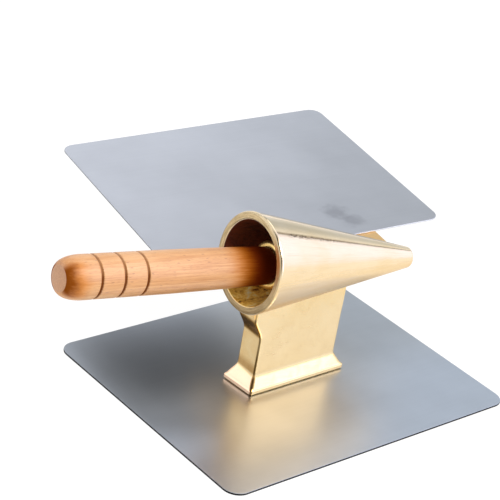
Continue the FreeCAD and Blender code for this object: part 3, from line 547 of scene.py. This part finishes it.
def ped_point(tag, z):
    xl, xr, hw, rc = ped_section(z)
    side, f = tag
    cx = {0: xl + rc, 1: xr - rc, 2: xr - rc, 3: xl + rc}
    if side == "front":
        x, y = xl + rc + (xr - xl - 2 * rc) * f, -hw
    elif side == "right":
        x, y = xr, -hw + rc + (2 * hw - 2 * rc) * f
    elif side == "back":
        x, y = xr - rc - (xr - xl - 2 * rc) * f, hw
    elif side == "left":
        x, y = xl, hw - rc - (2 * hw - 2 * rc) * f
    else:
        q = int(side[1])
        ox, oy = ((xr - rc, -hw + rc), (xr - rc, hw - rc), (xl + rc, hw - rc), (xl + rc, -hw + rc))[q]
        a = math.radians(-90 + 90 * q + 90 * f)
        x, y = ox + rc * math.cos(a), oy + rc * math.sin(a)
    # the casting is not quite square: its narrow end leans back a little at the foot
    lean = sstep(0.0, 20.0, xl + 20.0 - x) * (y + hw) / (2 * hw)
    x -= 1.5 * lean * (1 - sstep(4.0, 11.0, z)) - 0.6 * lean * sstep(4.0, 11.0, z)
    return Vector((x, y + 1.4, z + 1.2))


def ped_tags():
    ends = [0.0, 0.02, 0.06] + [0.06 + 0.88 * i / 18 for i in range(1, 18)] + [0.94, 0.98, 1.0]
    ends_s = [0.0, 0.06, 0.2, 0.4, 0.6, 0.8, 0.94, 1.0]
    arc = [i / 8 for i in range(1, 8)]
    tags = []
    for q, (side, es) in enumerate((("front", ends), ("right", ends_s), ("back", ends), ("left", ends_s))):
        tags += [(side, f) for f in es] + [("c%d" % q, f) for f in arc]
    return tags


def cone_depth(pt):
    """How far inside the outer wall of the cone a point is, in mm."""
    d = pt - MOUTH * 1000
    s = d.dot(CONE_DIR)
    return CONE_R0 * 1000 - s * (CONE_R0 - CONE_R1) / CONE_L - (d - CONE_DIR * s).length


def pedestal_mesh():
    tags = ped_tags()
    n = len(tags)
    tops = []
    for tag in tags:
        lo, hi = 20.0, 80.0
        zz = 20.0
        while cone_depth(ped_point(tag, zz)) < 1.0 and zz < 90:
            zz += 0.5
        lo, hi = zz - 0.5, zz
        for _ in range(30):
            mid = (lo + hi) / 2
            if cone_depth(ped_point(tag, mid)) < 1.0:
                lo = mid
            else:
                hi = mid
        tops.append(lo)
    cut = 28.0
    levels = [0.0, 0.42, 0.50, 0.62, 0.8, 1.1, 1.7, 2.1, 2.33, 2.55, 2.72, 2.9, 3.05, 3.2]
    levels += [3.2 + 9.4 * i / 16 for i in range(1, 17)] + [13.2, 15, 18, 22, cut]
    bm = bmesh.new()
    rows = [[bm.verts.new(ped_point(t, z) * MM) for t in tags] for z in levels]
    K = 26
    for k in range(1, K + 1):
        rows.append([bm.verts.new(ped_point(t, cut + (top - cut) * k / K) * MM) for t, top in zip(tags, tops)])
    for a, b in zip(rows, rows[1:]):
        for i in range(n):
            j = (i + 1) % n
            bm.faces.new((a[i], a[j], b[j], b[i]))
    bm.faces.new(list(reversed(rows[0])))
    # saddle: straight strips across, hidden in the wall of the cone
    top = rows[-1]
    nf = sum(1 for t in tags if t[0] == "front")
    fr = [i for i, t in enumerate(tags) if t[0] == "front"]
    bk = [i for i, t in enumerate(tags) if t[0] == "back"]
    for k in range(nf - 1):
        bm.faces.new((top[fr[k]], top[fr[k + 1]], top[bk[nf - 2 - k]], top[bk[nf - 1 - k]]))
    bm.faces.new([top[i] for i in range(fr[-1], bk[0] + 1)])
    bm.faces.new([top[i % n] for i in range(bk[-1], n + 1)])
    bmesh.ops.recalc_face_normals(bm, faces=bm.faces)
    me = bpy.data.meshes.new("cast_pedestal")
    bm.to_mesh(me)
    bm.free()
    for f in me.polygons:
        f.use_smooth = True
    o = bpy.data.objects.new("cast_pedestal", me)
    scene.collection.objects.link(o)
    me.materials.append(BRASS_PED)
    w = o.modifiers.new("flats", "WEIGHTED_NORMAL")
    w.mode = "FACE_AREA"
    w.weight = 50
    return o


ped = pedestal_mesh()
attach(ped, "stand")
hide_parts("pedestal")

# ------------------------------------------------------------------ floor and light
me = bpy.data.meshes.new("floor")
S = 6.0
me.from_pydata([(-S, -S, 0), (S, -S, 0), (S, S, 0), (-S, S, 0)], [], [(0, 1, 2, 3)])
floor = bpy.data.objects.new("floor", me)
scene.collection.objects.link(floor)
floor.location.z = -0.0002
# a light table: mostly glowing white, with a little of the shadow
fm = Tree("floor_paint")
fm.set("Base Color", (0.11, 0.108, 0.105, 1))
fm.set("Roughness", 1.0)
fm.set("Specular IOR Level", 0.0)
fm.set("Emission Color", (1.0, 0.995, 0.985, 1))
fm.set("Emission Strength", 0.96)
me.materials.append(fm.mat)

world = bpy.data.worlds.new("studio")
scene.world = world
world.use_nodes = True
wt = world.node_tree
wt.nodes.clear()


class Sky(Tree):
    def __init__(self, tree):
        self.t = tree
        self.dir = self.t.nodes.new("ShaderNodeTexCoord").outputs["Generated"]

    def lobe(self, c, inner, outer):
        return self.remap(self.vec("DOT_PRODUCT", self.dir, tuple(c)), math.cos(math.radians(outer)),
                          math.cos(math.radians(inner)), 0.0, 1.0)

    def pane(self, c, u0, u1, v0, v1, soft):
        """A rectangle seen around direction c, limits in degrees to the right and up of it."""
        r = Vector((c.y, -c.x, 0)).normalized()
        u = r.cross(c)
        d = self.vec("DOT_PRODUCT", self.dir, tuple(c))
        d = self.math("MAXIMUM", d, 0.05)
        a = self.math("DIVIDE", self.vec("DOT_PRODUCT", self.dir, tuple(r)), d)
        b = self.math("DIVIDE", self.vec("DOT_PRODUCT", self.dir, tuple(u)), d)
        tn = lambda q: math.tan(math.radians(q))
        e = tn(soft)
        k = self.math("MULTIPLY", self.remap(a, tn(u0) - e, tn(u0) + e), self.remap(a, tn(u1) - e, tn(u1) + e, 1.0, 0.0))
        k2 = self.math("MULTIPLY", self.remap(b, tn(v0) - e, tn(v0) + e), self.remap(b, tn(v1) - e, tn(v1) + e, 1.0, 0.0))
        return self.math("MULTIPLY", k, k2)


def toward(az, el):
    a, e = math.radians(az), math.radians(el)
    return Vector((math.cos(e) * math.cos(a), math.cos(e) * math.sin(a), math.sin(e)))


sky = Sky(wt)
SOFT = toward(-40, 22)
height = sky.vec("DOT_PRODUCT", sky.dir, (0, 0, 1))
v = sky.mix(sky.remap(height, 0.40, 0.56), (0.96, 1.01, 1.08), (0.55, 0.60, 0.68))
v = sky.mix(sky.lobe(toward(38, 23), 10, 24), v, (0.56, 0.62, 0.69))
v = sky.mix(sky.lobe(toward(50.1, 41), 2, 9.4), v, (0.24, 0.24, 0.25))
v = sky.mix(sky.lobe(toward(56.7, 28.5), 5.1, 13.3), v, (1.50, 1.58, 1.76))
v = sky.mix(sky.lobe(toward(132, 30), 16, 36), v, (1.5, 1.56, 1.68))
v = sky.mix(sky.lobe(toward(32.5, 59), 10.7, 21.5), v, (1.77, 1.81, 1.90))
v = sky.mix(sky.lobe(toward(150, 8), 18, 42), v, (1.50, 1.62, 1.95))
v = sky.mix(sky.lobe(Vector((0, 0, 1)), 10, 30), v, (0.95, 1.0, 1.1))
v = sky.mix(sky.lobe(toward(-133.8, 27), 15, 26), v, (0.09, 0.09, 0.095))
v = sky.mix(sky.lobe(toward(-134, 60), 20, 33), v, (0.05, 0.05, 0.055))
v = sky.mix(sky.pane(SOFT, -46.2, -38.0, -25, 30, 1.6), v, (0.26, 0.24, 0.21))
glow = sky.mix(sky.remap(height, -0.02, 0.30), (1.14, 1.21, 1.48), (1.24, 1.33, 1.78))
v = sky.mix(sky.pane(SOFT, -42.0, 34.0, -25, 36, 2.6), v, glow)
v = sky.mix(sky.pane(toward(-48, 38), -17, 20, -9, 14, 4.0), v, (2.35, 2.25, 2.5))
v = sky.mix(sky.pane(toward(-60, 8), -14, 14, -9, 11, 2.0), v, (2.2, 2.4, 3.4))
bg = wt.nodes.new("ShaderNodeBackground")
wo = wt.nodes.new("ShaderNodeOutputWorld")
wt.links.new(v, bg.inputs[0])
bg.inputs[1].default_value = 1.0
wt.links.new(bg.outputs[0], wo.inputs[0])


def panel(name, at, aim, size, power, colour=(1, 1, 1)):
    d = bpy.data.lights.new(name, "AREA")
    d.shape = "RECTANGLE"
    d.size, d.size_y = size
    d.energy = power
    d.color = colour
    o = bpy.data.objects.new(name, d)
    scene.collection.objects.link(o)
    o.location = at
    o.rotation_euler = (Vector(aim) - Vector(at)).to_track_quat("-Z", "Y").to_euler()
    return o


panel("key", (0.10, -1.00, 1.50), (-0.05, 0, 0.06), (1.1, 0.8), 22, (1.0, 0.95, 0.88))
